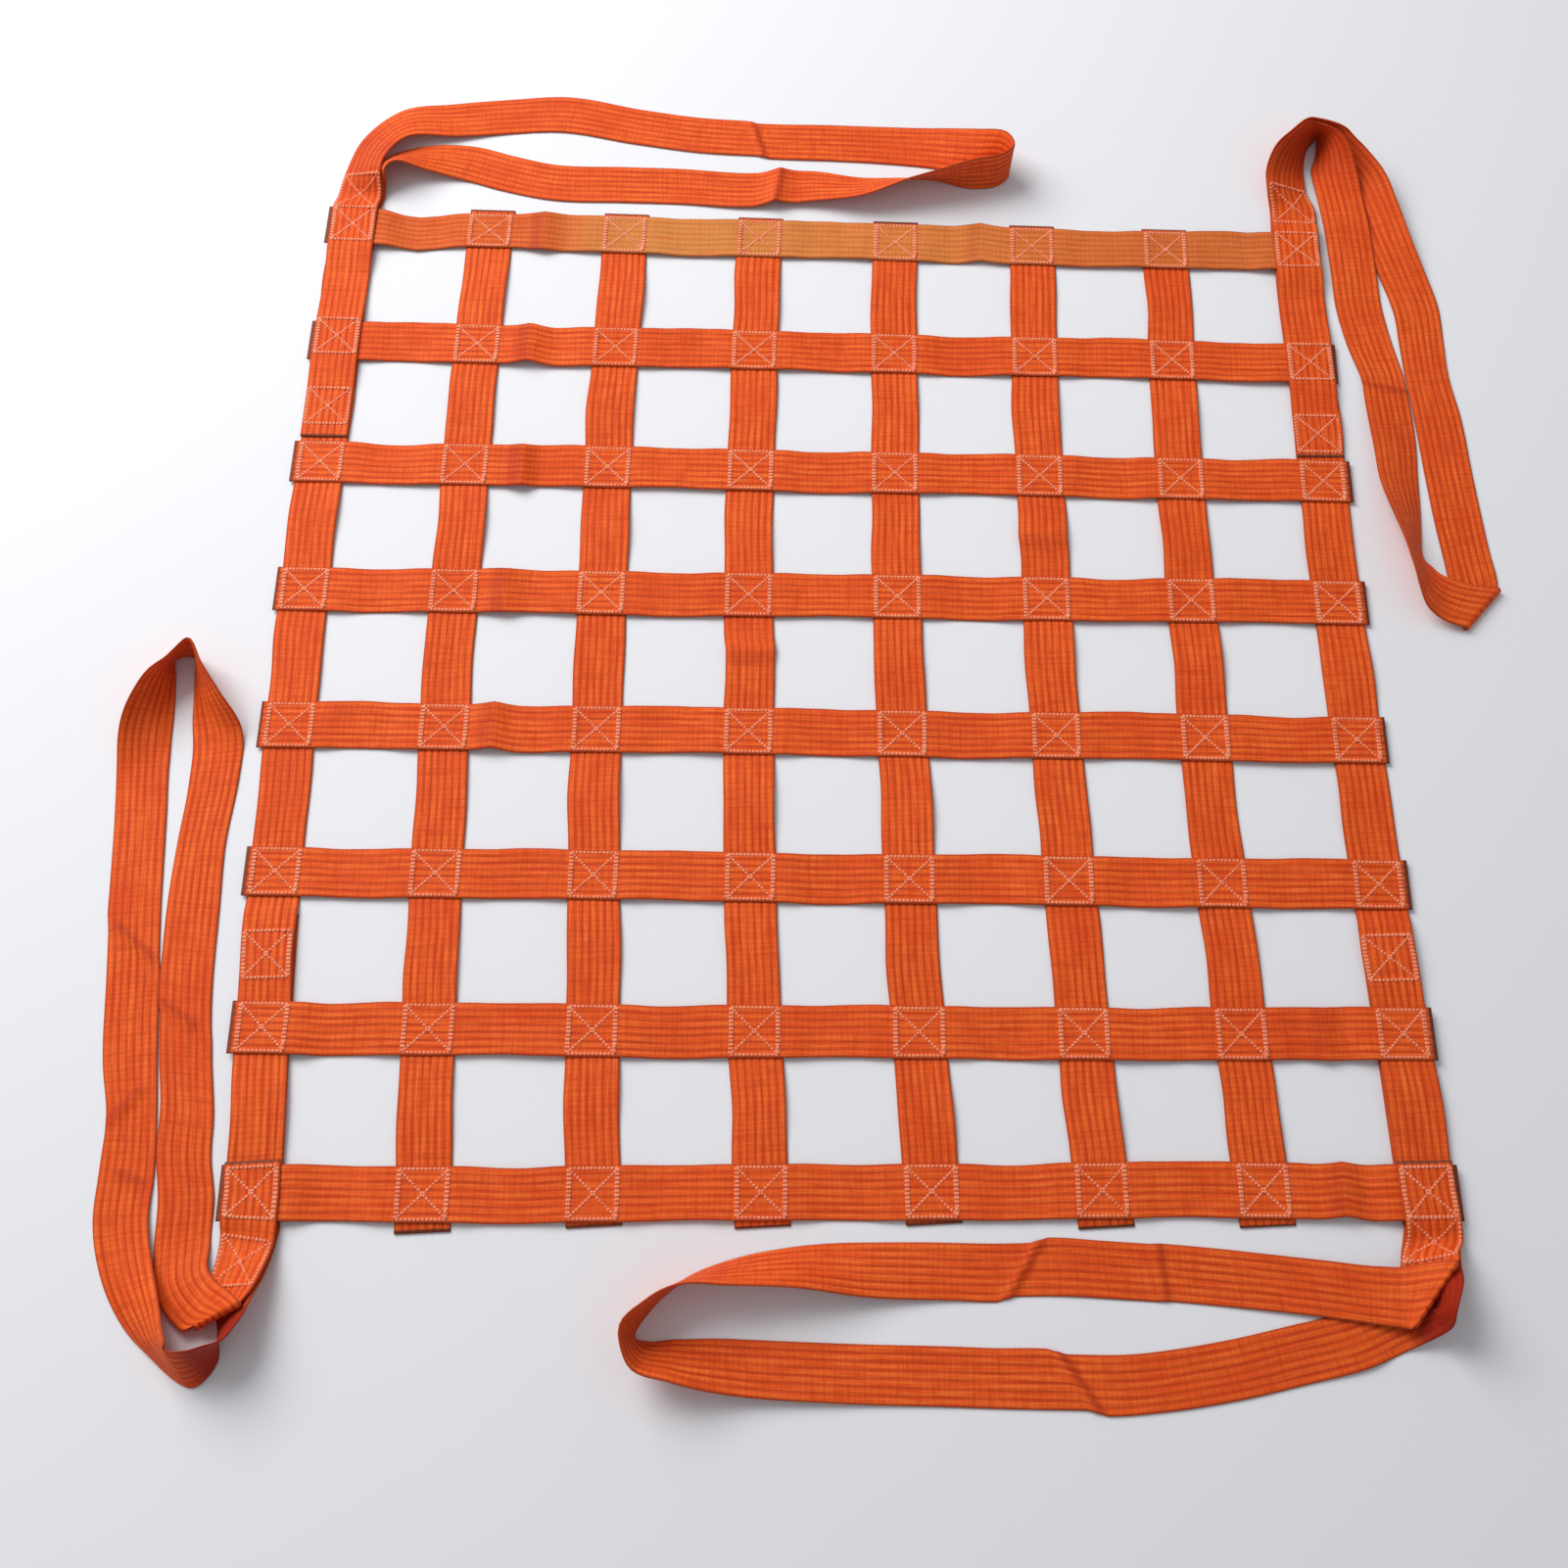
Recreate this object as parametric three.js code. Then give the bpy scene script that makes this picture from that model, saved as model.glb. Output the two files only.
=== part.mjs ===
// Cargo lifting net of ribbed webbing, lying spread out on a level floor.
// Eight long straps run along Y and eight cross straps are laid over them along X.
// A webbing loop starts from each corner: one length of webbing, doubled, with one end sewn on
// above the edge strap and the other below it. One of the two ends runs on as a tail.
// Millimetres, +Z up, the floor at z = 0, origin under the middle of the net's outline.

import * as THREE from "three";

// ---------- the webbing ----------
const WIDE = 50;
const THICK = 2.4;
const GAP = 0.3;
const LAYER = THICK + GAP;

// ---------- the grid ----------
const COUNT = 8;
const PITCH = 150;
const HALF = (PITCH * (COUNT - 1)) / 2;
const BOW = 12;
const SWAY = 3;
const TUCK = 3;
const FAN = 9;
const CROSS_END = 5;
const CORNER_END = 2;
const LONG_ENDS_NEAR = [CORNER_END, 8, 3.5, 5, 3.5, 7.5, 6.5, CORNER_END];
const LONG_END_FAR = 5;
const RISE_FROM = 30;
const RISE_TO = 62;

// ---------- where the loops are sewn on ----------
const CUT_END = 28;
const LEG_OUT = 30;
const TAIL_END = 267;
const TOP_TAIL_END = 255;
const END_STEP = 14;

// ---------- how finely each strip is cut into stations ----------
const LONG_CUTS = [-75, -37, 0, 37];
const OUTER_CUTS = [-75, -42, -28, 0, 28, 42];
const CROSS_CUTS = [-75, -60, -45, -30, 30, 45, 60];
const NEAREST_CUT = 4;
const LEG_STEP = 34;
const TURN_STEP = 0.25;

// ---------- where the net's outline has its middle, seen from the middle of the grid ----------
const MIDDLE_X = -5.59;
const MIDDLE_Y = 9.15;

const webbing = new THREE.MeshStandardMaterial({ color: 0xe2591f, roughness: 0.85, metalness: 0 });
const { clamp, lerp, degToRad: radians, radToDeg: degrees, smoothstep: smooth } = THREE.MathUtils;

const net = new THREE.Group();
net.name = "cargo_lifting_net";
net.position.set(-MIDDLE_X, -MIDDLE_Y, 0);

// How far each strap has slid at its two ends: the long straps, from the left, towards +X at their
// far and near ends, and the cross straps, from the far side, towards +Y at their left and right.
const LONG_SLIDES = [[1, -2], [3, 2], [2, 3], [1.5, 2], [2, 4], [4, 7], [4, 2.5], [6, 5]];
const CROSS_SLIDES = [[0, -1.5], [0, 1.5], [-0.5, 1], [0.5, 5], [1, 0], [0, -3.5], [-1.5, -3], [-2, 4.5]];

// The slide at a place counted in straps from the first one, and at a share of their length.
function slid(slides, place, share) {
  const k = clamp(Math.floor(place), 0, COUNT - 2);
  const [one, next] = [slides[k], slides[k + 1]].map(([start, end]) => lerp(start, end, share));
  return lerp(one, next, clamp(place - k, 0, 1));
}

// Where a point of the square grid has come to lie: the net is a little bowed, swayed and fanned,
// and each strap has slid a little, but not at the corners.
function laid(x, y) {
  const u = x / HALF;
  const v = y / HALF;
  const free = 1 - Math.min((u * v) ** 4, 1);
  const slideX = free * slid(LONG_SLIDES, (x + HALF) / PITCH, (1 - v) / 2);
  const slideY = free * slid(CROSS_SLIDES, (HALF - y) / PITCH, (1 + u) / 2);
  const alongX = x + BOW * (v * v - 0.6) - SWAY * v - TUCK * u * u * (1 + u) + slideX;
  const alongY = y - FAN * u * (1 + v) + slideY;
  return [alongX, alongY];
}

// A point of a station {at, side, half}: at is the middle, side runs across, s is 1 or -1 at an edge.
function across(station, s) {
  return station.at.clone().addScaledVector(station.side, s * station.half);
}

// A solid strip through stations. Where it twists, its top and underside are cut along the same
// diagonal, the shorter one, so that it stays as thick there.
function strip(name, stations) {
  const points = [];
  const last = stations.length - 1;
  stations.forEach((station, i) => {
    const before = stations[Math.max(i - 1, 0)].at;
    const after = stations[Math.min(i + 1, last)].at;
    const along = after.clone().sub(before).normalize();
    const face = along.clone().cross(station.side).normalize();
    for (const [s, f] of [[1, 1], [-1, 1], [-1, -1], [1, -1]]) {
      const corner = across(station, s).addScaledVector(face, (f * THICK) / 2);
      corner.z = Math.max(corner.z, 0);
      points.push(corner.x, corner.y, corner.z);
    }
  });
  const faces = [0, 2, 1, 0, 3, 2];
  for (let i = 0; i < last; i += 1) {
    const a = 4 * i;
    const b = a + 4;
    const [p, q] = [stations[i], stations[i + 1]];
    const forth = across(p, -1).distanceTo(across(q, 1));
    const back = across(p, 1).distanceTo(across(q, -1));
    if (forth < back) {
      faces.push(a, a + 1, b, a + 1, b + 1, b);
      faces.push(a + 2, a + 3, b + 3, a + 2, b + 3, b + 2);
    } else {
      faces.push(a, a + 1, b + 1, a, b + 1, b);
      faces.push(a + 2, a + 3, b + 2, a + 3, b + 3, b + 2);
    }
    faces.push(a + 1, a + 2, b + 2, a + 1, b + 2, b + 1);
    faces.push(a + 3, a, b, a + 3, b, b + 3);
  }
  const e = 4 * last;
  faces.push(e, e + 1, e + 2, e, e + 2, e + 3);
  const geometry = new THREE.BufferGeometry();
  geometry.setAttribute("position", new THREE.Float32BufferAttribute(points, 3));
  geometry.setIndex(faces);
  geometry.computeVertexNormals();
  const mesh = new THREE.Mesh(geometry, webbing);
  mesh.name = name;
  net.add(mesh);
}

// ---------- the straps of the grid ----------

// Creases and humps left in the straps by packing: which strap, how far along it the fold is,
// how high, how long either way, and how far the strap is pushed sideways there.
const CREASES = [
  { strap: "cross_strap_1", along: -452, high: 0, reach: 60, shift: 6 },
  { strap: "cross_strap_1", along: -315, high: 6, reach: 24, shift: 2 },
  { strap: "cross_strap_1", along: 168, high: 4, reach: 30, shift: -3 },
  { strap: "cross_strap_2", along: -318, high: 7, reach: 26, shift: -2 },
  { strap: "cross_strap_3", along: -316, high: 9, reach: 20, shift: 3 },
  { strap: "cross_strap_4", along: -322, high: 6, reach: 28, shift: 2 },
  { strap: "cross_strap_5", along: -326, high: 5, reach: 24, shift: -2 },
  { strap: "cross_strap_7", along: 452, high: 4, reach: 26, shift: 2 },
  { strap: "cross_strap_8", along: 448, high: 5, reach: 28, shift: -3 },
  { strap: "long_strap_4", along: 13, high: 3, reach: 18, shift: 1 },
  { strap: "long_strap_6", along: 150, high: 3, reach: 30, shift: -2 },
];

// How much of a crease is left at a place along its strap: all at its top, none past its reach.
function share(fold, along) {
  return 1 - smooth(Math.abs(along - fold.along), 0, fold.reach);
}

// Height of the underside of a long strap. The outer two lie on the loops' lower ends: the long
// tails at the near corners, the short cut ends at the far ones.
function longLift(column, y) {
  const outer = column === 0 || column === COUNT - 1;
  const end = y < 0 ? TAIL_END : HALF - CUT_END;
  return outer ? LAYER * smooth(Math.abs(y), end - END_STEP, end) : 0;
}

// Height of the underside of a cross strap: over each long strap, down on the floor between them.
function crossLift(row, x) {
  const y = HALF - PITCH * row;
  let lift = 0;
  for (let column = 0; column < COUNT; column += 1) {
    const away = Math.abs(x + HALF - PITCH * column);
    const over = longLift(column, y) + LAYER;
    lift = Math.max(lift, over * (1 - smooth(away, RISE_FROM, RISE_TO)));
  }
  return lift;
}

// The places along a strap where it is cut into stations: its ends, offsets from every
// crossing, and five to each of its creases.
function cuts(from, to, offsets, folds) {
  const places = [];
  for (let k = 0; k < COUNT; k += 1) {
    places.push(...offsets.map((offset) => HALF - PITCH * k + offset));
  }
  for (const fold of folds) {
    places.push(...[-1, -0.5, 0, 0.5, 1].map((part) => fold.along + part * fold.reach));
  }
  places.sort((a, b) => a - b);
  const kept = [from];
  for (const place of places) {
    if (place > kept.at(-1) + NEAREST_CUT && place < to - NEAREST_CUT) {
      kept.push(place);
    }
  }
  return [...kept, to];
}

// A strap between two places: point(place) is its plan position, lift(place) the height below it.
function strap(name, from, to, offsets, point, lift) {
  const folds = CREASES.filter((fold) => fold.strap === name);
  const stations = cuts(from, to, offsets, folds).map((place) => {
    const [x, y] = point(place);
    const [x0, y0] = point(place - 1);
    const [x1, y1] = point(place + 1);
    const side = new THREE.Vector3(y1 - y0, x0 - x1, 0).normalize();
    const at = new THREE.Vector3(x, y, lift(place) + THICK / 2);
    for (const fold of folds) {
      at.z += share(fold, place) * fold.high;
      at.addScaledVector(side, share(fold, place) * fold.shift);
    }
    return { at, side, half: WIDE / 2 };
  });
  strip(name, stations);
}

for (let column = 0; column < COUNT; column += 1) {
  const x = PITCH * column - HALF;
  const outer = column === 0 || column === COUNT - 1;
  const near = HALF + WIDE / 2 + LONG_ENDS_NEAR[column];
  const far = HALF + WIDE / 2 + (outer ? CORNER_END : LONG_END_FAR);
  const offsets = outer ? OUTER_CUTS : LONG_CUTS;
  strap(`long_strap_${column + 1}`, -near, far, offsets, (y) => laid(x, y), (y) => longLift(column, y));
}

for (let row = 0; row < COUNT; row += 1) {
  const y = HALF - PITCH * row;
  const left = HALF + WIDE / 2 + CROSS_END;
  const right = HALF + WIDE / 2 + (row === 0 ? CORNER_END : CROSS_END);
  strap(`cross_strap_${row + 1}`, -left, right, CROSS_CUTS, (x) => laid(x, y), (x) => crossLift(row, x));
}

// ---------- the four corner loops ----------

// Each loop's table has a row for every bend, from the net outwards and back again:
//   x, y     the middle of the webbing in plan, from the middle of the grid
//   across   the direction across the webbing towards its first edge, degrees from +X
//   lean     how far the first edge is tipped up, degrees
//   on       how many layers of webbing lie beneath
//   lift     how far the lower edge is off those layers
//   wide     the length of the line across, in webbing widths: more than 1 where it runs aslant
//   creased  1 at a sharp fold, which takes three rows round its thickness, or less at a kink
const COLUMNS = ["x", "y", "across", "lean", "on", "lift", "wide", "creased"];

const NEAR_RIGHT = [
  [527.8, -552, 1, 0, 3, 0],
  [527.8, -565, -1, 3, 1, 0.6],
  [517.5, -583, 7, 23, 1, 3.8],
  [515, -614.5, 54, 17, 0, 10.8, 1.36, 1],
  [516.8, -616, 54, 17, 0, 13.6, 1.36, 1],
  [515, -614.5, 54, 17, 0, 16.4, 1.36, 1],
  [494, -616, 82, 4, 0, 11.2, 1.05],
  [474, -614, 87, 1, 0, 7],
  [430, -608, 96, 0, 1, 1],
  [330, -597, 95, 0, 0, 0],
  [210, -590, 92, 0, 0, 0],
  [125, -592, 88, 0, 0, 0],
  [40, -592, 90, -10, 0, 0],
  [-40, -591, 90, -40, 0, 0],
  [-92, -596, 86, -57, 0, 0],
  [-131, -603.5, 68, -75, 0, 0],
  [-160, -622, 22, -84, 0, 0],
  [-179, -649, 4, -78, 0, 0],
  [-170, -663, 60, -58, 0, 0],
  [-140, -669, 86, -40, 0, 0],
  [-96, -673, 92, -18, 0, 0],
  [0, -678, 90, -4, 0, 0],
  [110, -681, 90, 0, 0, 0],
  [200, -685, 90, 0, 0, 0],
  [262, -686, 94, 0, 0, 0],
  [335, -676.5, 100, 0, 0, 0],
  [400, -662.5, 104, 0, 0, 0],
  [452, -650, 108, -2, 0, 0],
  [490, -634, 114, -3, 0, 0],
  [510, -627, 124, -24, 0, 0],
  [519.5, -627, 135, -75, 0, 0],
  [522.5, -609, 163, -65, 0, 0],
  [519.7, -591.5, 176, -29, 0, 0],
  [526, -566, 178, -3, 0, 0],
];

const FAR_LEFT = [
  [-522.2, 570, 178, 0, 3, 0],
  [-520.2, 583, 176, -2, 1, 0.6],
  [-516, 610, 165, -24, 1, 3.6],
  [-504, 649, 143, -21, 1, 3.6],
  [-476, 681, 109, -14, 1, 3],
  [-420, 693, 100, -3, 1, 0],
  [-357, 702, 92, 0, 0, 0],
  [-300, 704.5, 84, 2, 0, 0],
  [-210, 687, 80, 0, 0, 0],
  [-130, 673.5, 84, 0, 0, 0],
  [-60, 667.5, 87, 0, 0, 0],
  [10, 663, 90, 2, 0, 0],
  [66, 659, 90, 4, 0, 0],
  [126, 651.5, 86, 12, 0, 0],
  [172, 639, 72, 36, 0, 0],
  [200, 630, 40, 72, 0, 0],
  [209, 619, 0, 88, 0, 0],
  [197, 605.5, -55, 92, 0, 0],
  [170, 599.5, -88, 90, 0, 0],
  [125, 599, -94, 62, 0, 0],
  [95, 597, -92, 50, 0, 0],
  [42, 592, -88, 28, 0, 0],
  [-13, 598.5, -92, 10, 0, 0],
  [-90, 595.5, -90, 3, 0, 0],
  [-160, 601.5, -88, 0, 0, 0],
  [-222, 604, -90, 0, 0, 0],
  [-311, 608.5, -93, 0, 0, 0],
  [-356, 620, -104, 0, 0, 0],
  [-400, 633.5, -102, 2, 0, 0],
  [-446, 636, -92, 18, 0, 0],
  [-482, 629.5, -78, 40, 0, 0],
  [-505, 615, -40, 34, 0, 0],
  [-515, 600, -10, 10, 0, 0],
  [-519, 580, -3, 0, 0, 0],
];

const FAR_RIGHT = [
  [521.8, 534, 178, 0, 3, 0],
  [522.8, 547, 178, 1, 1, 1.2],
  [523, 569, 178, 5, 1, 0.6],
  [517.5, 588, 180, 20, 1, 0.6],
  [518, 604, 180, 27, 1, 1],
  [524, 625, 176, 45, 1, 0],
  [535, 643, 192, 63, 0, 1.4],
  [548, 656.5, 212, 75, 0, 0],
  [557, 661.5, 237, 66, 0, 0],
  [564.5, 652, 292, 70, 0, 0],
  [569, 636, 335, 60, 0, 1],
  [571.5, 615, 346, 28, 0, 2.5],
  [575.5, 590, 354, 9, 1, 1.6],
  [579.5, 550, 358, 3.5, 1, 1.3],
  [581, 516, 0, 1, 1, 0.6],
  [581.5, 480, 3, 0, 1, 0],
  [582.5, 437, 5, 0, 0, 0],
  [588, 390, 7, 0, 0, 0, 0.97],
  [596.3, 346, 5, -2, 0, 0, 0.93, 0.5],
  [597.3, 298, 4, -8, 0, 0],
  [597.2, 250, 8, -13, 0, 0],
  [595.3, 217, 12, -19, 0, 0],
  [596.5, 169, 24, -34, 0, 0],
  [597.5, 140.5, 33, -43, 0, 0],
  [598, 117, 40, -48, 0, 0],
  [600.5, 105, 51, -42, 0, 1],
  [605, 92.5, 57, -29, 0, 4],
  [611, 80, 61, -16, 0, 7],
  [628, 69.5, 58, -3, 0, 8],
  [661.5, 62.5, 48, 0, 0, 6, 1.22, 1],
  [663.5, 61, 48, 0, 0, 3, 1.22, 1],
  [661.5, 62.5, 48, 0, 0, 0, 1.22, 1],
  [657, 114, 14, 0, 0, 0],
  [653.5, 165, 8, 0, 0, 0],
  [651, 222, 5, 0, 0, 0],
  [649, 290, 4, 0, 0, 0],
  [644.6, 346, 5, 0, 0, 0, 0.94],
  [644.6, 388, 6, 0, 0, 0, 0.97],
  [644.6, 430, 7, 0, 0, 0],
  [634.6, 479, 8, 4, 0, 0],
  [624.1, 519, 8, 11, 0, 0],
  [614.5, 564, 10, 16, 0, 0],
  [602.5, 603.5, 12, 26, 0, 0],
  [587.5, 624, 17, 37, 0, 0],
  [574.5, 640.5, 6, 52, 0, 0],
  [570.5, 658, 292, 70, 0, 0],
  [558.5, 668, 237, 65, 0, 0],
  [545, 661, 214, 75, 0, 0],
  [531.5, 646, 194, 63, 0, 0],
  [521, 628, 174, 45, 0, 0],
  [516, 605, 180, 25, 0, 0],
  [517, 588, 180, 20, 0, 0],
  [523, 567, 178, 3, 0, 0],
];

const NEAR_LEFT = [
  [-517.2, -552, -4, 0, 3, 0],
  [-517.2, -565, -9, 5, 1, 0.7],
  [-520, -591, -10, 20, 1, 2],
  [-531, -631.5, 22, 29, 1, 5, 1.1, 1],
  [-529.4, -634.4, 22, 29, 1, 7.8, 1.1, 1],
  [-531, -631.5, 22, 29, 1, 10.6, 1.1, 1],
  [-553, -622, 50, 8, 1, 4],
  [-569.5, -603, 32, 3, 1, 1.5],
  [-575, -572, 10, 0, 0, 0],
  [-577, -530, 3, 0, 0, 0],
  [-584, -490, -4, 0, 0, 0],
  [-586.1, -450, -8, 0, 0, 0],
  [-593.6, -402, -6, 0, 0, 0],
  [-601.5, -327, -6, 0, 0, 0],
  [-604.5, -250, -4, 0, 0, 0],
  [-604.5, -190, 0, 0, 0, 0, 0.93],
  [-600.5, -130, 4, 0, 0, 0, 0.96],
  [-602, -75, 4, 6, 0, 0],
  [-613, -41, 349, 44, 0, 0],
  [-623, -15, 340, 65, 0, 0],
  [-632.5, 8, 333, 82, 0, 0],
  [-642.5, 4, 304, 73, 0, 0],
  [-650.5, -3, 292, 68, 0, 0],
  [-657.5, -19, 232, 69, 0, 0],
  [-664, -42, 200, 52, 0, 0],
  [-670.5, -74, 185, 24, 0, 0],
  [-671, -110, 184, 4, 0, 0],
  [-667, -160, 184, 0, 0, 0],
  [-660, -250, 185, 0, 0, 0],
  [-652, -327, 186, 0, 0, 0],
  [-644, -402, 188, 0, 0, 0],
  [-635.5, -455, 184, 0, 0, 0, 0.92],
  [-633, -505, 178, 0, 0, 0],
  [-632, -550, 184, -3, 0, 0],
  [-617, -599, 192, -15, 0, 0],
  [-599, -632, 202, -35, 0, 0],
  [-582, -657, 196, -56, 0, 0],
  [-557.2, -676.7, 296, -55, 0, 0],
  [-543, -672, 297, -69, 0, 0],
  [-532.7, -663, 275, -84, 0, 0],
  [-527, -653.5, 160, -72, 0, 0],
  [-522, -638, 178, -54, 0, 0],
  [-521.5, -616, 177, -35, 0, 0],
  [-519, -592, 170, -18, 0, 0],
  [-517, -568, 174, -4, 0, 0],
];

// The frame of one row: the middle of the webbing, the direction across it, and its length.
function framed(values) {
  const row = { wide: 1, creased: 0 };
  values.forEach((value, k) => {
    row[COLUMNS[k]] = value;
  });
  const a = radians(row.across);
  const l = radians(row.lean);
  const up = Math.abs(Math.sin(l));
  const flat = Math.abs(Math.cos(l));
  const z = row.on * LAYER + row.lift + (WIDE * row.wide * up + THICK * flat) / 2;
  const at = new THREE.Vector3(row.x, row.y, z);
  const side = new THREE.Vector3(Math.cos(l) * Math.cos(a), Math.cos(l) * Math.sin(a), Math.sin(l));
  return { at, side, wide: row.wide, slack: 1 - row.creased };
}

// One number of a row, blended smoothly from row b to row c, with the rows on either side.
function blend(t, [a, b, c, d], [ab, bc, cd], slackB, slackC) {
  const outB = (slackB * bc * (((b - a) / ab) * bc + ((c - b) / bc) * ab)) / (ab + bc);
  const inC = (slackC * bc * (((c - b) / bc) * cd + ((d - c) / cd) * bc)) / (bc + cd);
  const t2 = t * t;
  const t3 = t2 * t;
  return (2 * t3 - 3 * t2 + 1) * b + (t3 - 2 * t2 + t) * outB + (3 * t2 - 2 * t3) * c + (t3 - t2) * inC;
}

// The stations of a strip drawn smoothly through rows.
function stationsThrough(rows) {
  const numbers = rows.map((row) => [...row.at.toArray(), ...row.side.toArray(), row.wide]);
  const past = (end, inner) => end.map((value, k) => 2 * value - inner[k]);
  const apart = (p, q) => Math.hypot(q[0] - p[0], q[1] - p[1], q[2] - p[2]);
  const last = rows.length - 1;
  const stations = [];
  for (let i = 0; i < last; i += 1) {
    const b = numbers[i];
    const c = numbers[i + 1];
    const a = i > 0 ? numbers[i - 1] : past(b, c);
    const d = i + 2 <= last ? numbers[i + 2] : past(c, b);
    const gaps = [apart(a, b), apart(b, c), apart(c, d)];
    const turn = rows[i].side.angleTo(rows[i + 1].side);
    const pieces = Math.max(1, Math.ceil(gaps[1] / LEG_STEP), Math.ceil(turn / TURN_STEP));
    for (let step = 0; step < pieces; step += 1) {
      const n = b.map((value, k) =>
        blend(step / pieces, [a[k], value, c[k], d[k]], gaps, rows[i].slack, rows[i + 1].slack));
      const at = new THREE.Vector3(n[0], n[1], n[2]);
      const side = new THREE.Vector3(n[3], n[4], n[5]).normalize();
      stations.push({ at, side, half: (WIDE * n[6]) / 2 });
    }
  }
  const end = rows[last];
  stations.push({ at: end.at, side: end.side, half: (WIDE * end.wide) / 2 });
  return stations;
}

// A row where a loop's webbing lies along the outer long strap, on some layers of webbing. turn is
// 0 with its first edge towards +X, and 180 towards -X.
function sewn(x, y, on, turn) {
  const [x0, y0] = laid(x, y - 1);
  const [x1, y1] = laid(x, y + 1);
  const skew = degrees(Math.atan2(x0 - x1, y1 - y0));
  return [...laid(x, y), turn + skew, 0, on, 0, 1, 1];
}

// A near loop: its upper end is cut short just past the edge strap, and its lower end runs back
// under the outer long strap as a tail.
function nearLoop(name, x, table) {
  const start = [sewn(x, CUT_END - HALF, 3, 0), sewn(x, -HALF, 3, 0)];
  const halfway = -(HALF + TAIL_END) / 2;
  const finish = [-HALF - LEG_OUT, -HALF, halfway, -TAIL_END].map((y) => sewn(x, y, 0, 180));
  strip(name, stationsThrough([...start, ...table, ...finish].map(framed)));
}

// A far loop: its upper end runs back as a tail over the edge strap, the outer long strap and the
// second cross strap, and its lower end is cut short under the edge strap.
function farLoop(name, x, table, turn) {
  const second = HALF - PITCH;
  const start = [
    sewn(x, TOP_TAIL_END, 1, 180),
    sewn(x, second - RISE_TO, 1, 180),
    sewn(x, second - RISE_FROM, 2, 180),
    sewn(x, second + RISE_FROM, 2, 180),
    sewn(x, second + RISE_TO, 1, 180),
    sewn(x, HALF - RISE_TO, 1, 180),
    sewn(x, HALF - RISE_FROM, 3, 180),
    sewn(x, HALF, 3, 180),
  ];
  const finish = [HALF + LEG_OUT, HALF, HALF - CUT_END].map((y) => sewn(x, y, 0, turn));
  strip(name, stationsThrough([...start, ...table, ...finish].map(framed)));
}

farLoop("loop_far_left", -HALF, FAR_LEFT, 0);
farLoop("loop_far_right", HALF, FAR_RIGHT, 180);
nearLoop("loop_near_left", -HALF, NEAR_LEFT);
nearLoop("loop_near_right", HALF, NEAR_RIGHT);

export default net;
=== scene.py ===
"""A cargo lifting net of orange webbing, lying spread out on the floor.

The net is put together here as it is sewn: eight long straps, eight cross straps laid over them,
a lifting loop at each corner, and the thread that holds them. Then come the floor, the light and
the camera. Sizes along and across the webbing are in millimetres, and meshes are in metres.
"""

import math

import bmesh
import bpy
from mathutils import Matrix, Vector


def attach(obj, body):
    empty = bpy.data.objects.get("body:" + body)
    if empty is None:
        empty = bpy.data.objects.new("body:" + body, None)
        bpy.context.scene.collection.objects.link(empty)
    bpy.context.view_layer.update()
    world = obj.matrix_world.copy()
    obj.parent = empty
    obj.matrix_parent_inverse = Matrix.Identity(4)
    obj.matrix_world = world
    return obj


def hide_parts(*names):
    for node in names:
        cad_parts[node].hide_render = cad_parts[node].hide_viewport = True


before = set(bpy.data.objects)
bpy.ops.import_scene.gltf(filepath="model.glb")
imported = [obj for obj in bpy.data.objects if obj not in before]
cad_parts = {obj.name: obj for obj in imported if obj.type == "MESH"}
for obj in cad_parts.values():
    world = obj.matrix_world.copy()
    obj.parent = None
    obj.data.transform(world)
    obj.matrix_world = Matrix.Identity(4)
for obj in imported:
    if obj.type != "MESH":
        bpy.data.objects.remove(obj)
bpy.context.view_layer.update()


# ---------------------------------------------------------------------------------------------
# The long straps. Eight lengths of 50 mm polyester webbing, woven with seven ribs down each
# face and a shallow channel between ribs. They run side by side, away from the near edge, and
# the two outer ones lie over the lower ends of the corner loops.
# ---------------------------------------------------------------------------------------------
MM = 0.001
# the webbing, and the little air that stays between two layers of it
WIDE = 50.0
THICK = 2.4
LAYER = THICK + 0.3
# the square grid: how many straps each way, how far apart, and the outermost from the middle
COUNT = 8
PITCH = 150.0
HALF = PITCH * (COUNT - 1) / 2
# how far the grid has come to lie from square: bowed, swayed, tucked in and fanned
BOW = 12.0
BOW_REST = 0.6
SWAY = 3.0
TUCK = 3.0
FAN = 9.0
# where a loop's lower end stops beneath the strap: a tail from the middle of the grid at the near
# corners, a short cut end from the corner at the far ones, and how long the strap takes to step down
TAIL_END = 267.0
CUT_END = 28.0
END_STEP = 14.0
# how far each strap runs on past the edge strap that it is sewn to
CORNER_END = 2.0
LONG_ENDS_NEAR = [CORNER_END, 8.0, 3.5, 5.0, 3.5, 7.5, 6.5, CORNER_END]
LONG_END_FAR = 5.0
# the middle of the net's outline, seen from the middle of its grid
MIDDLE = Vector((-5.59, 9.15, 0.0))

# How far each strap has slid at its two ends: the long straps, from the left, towards +X at their
# far and near ends, and the cross straps, from the far side, towards +Y at their left and right.
LONG_SLIDES = [(1, -2), (3, 2), (2, 3), (1.5, 2), (2, 4), (4, 7), (4, 2.5), (6, 5)]
CROSS_SLIDES = [(0, -1.5), (0, 1.5), (-0.5, 1), (0.5, 5), (1, 0), (0, -3.5), (-1.5, -3), (-2, 4.5)]

# the ribs, how deep the channel beside each is, how much of its thickness a melted cut end keeps,
# and how closely the webbing is followed along its length
RIBS = 7
CHANNELS_DEEP = (0.4, 0.34, 0.46, 0.38, 0.5, 0.36, 0.44, 0.4)
MELTED = 0.72
RING_STEP = 6.0

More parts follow.
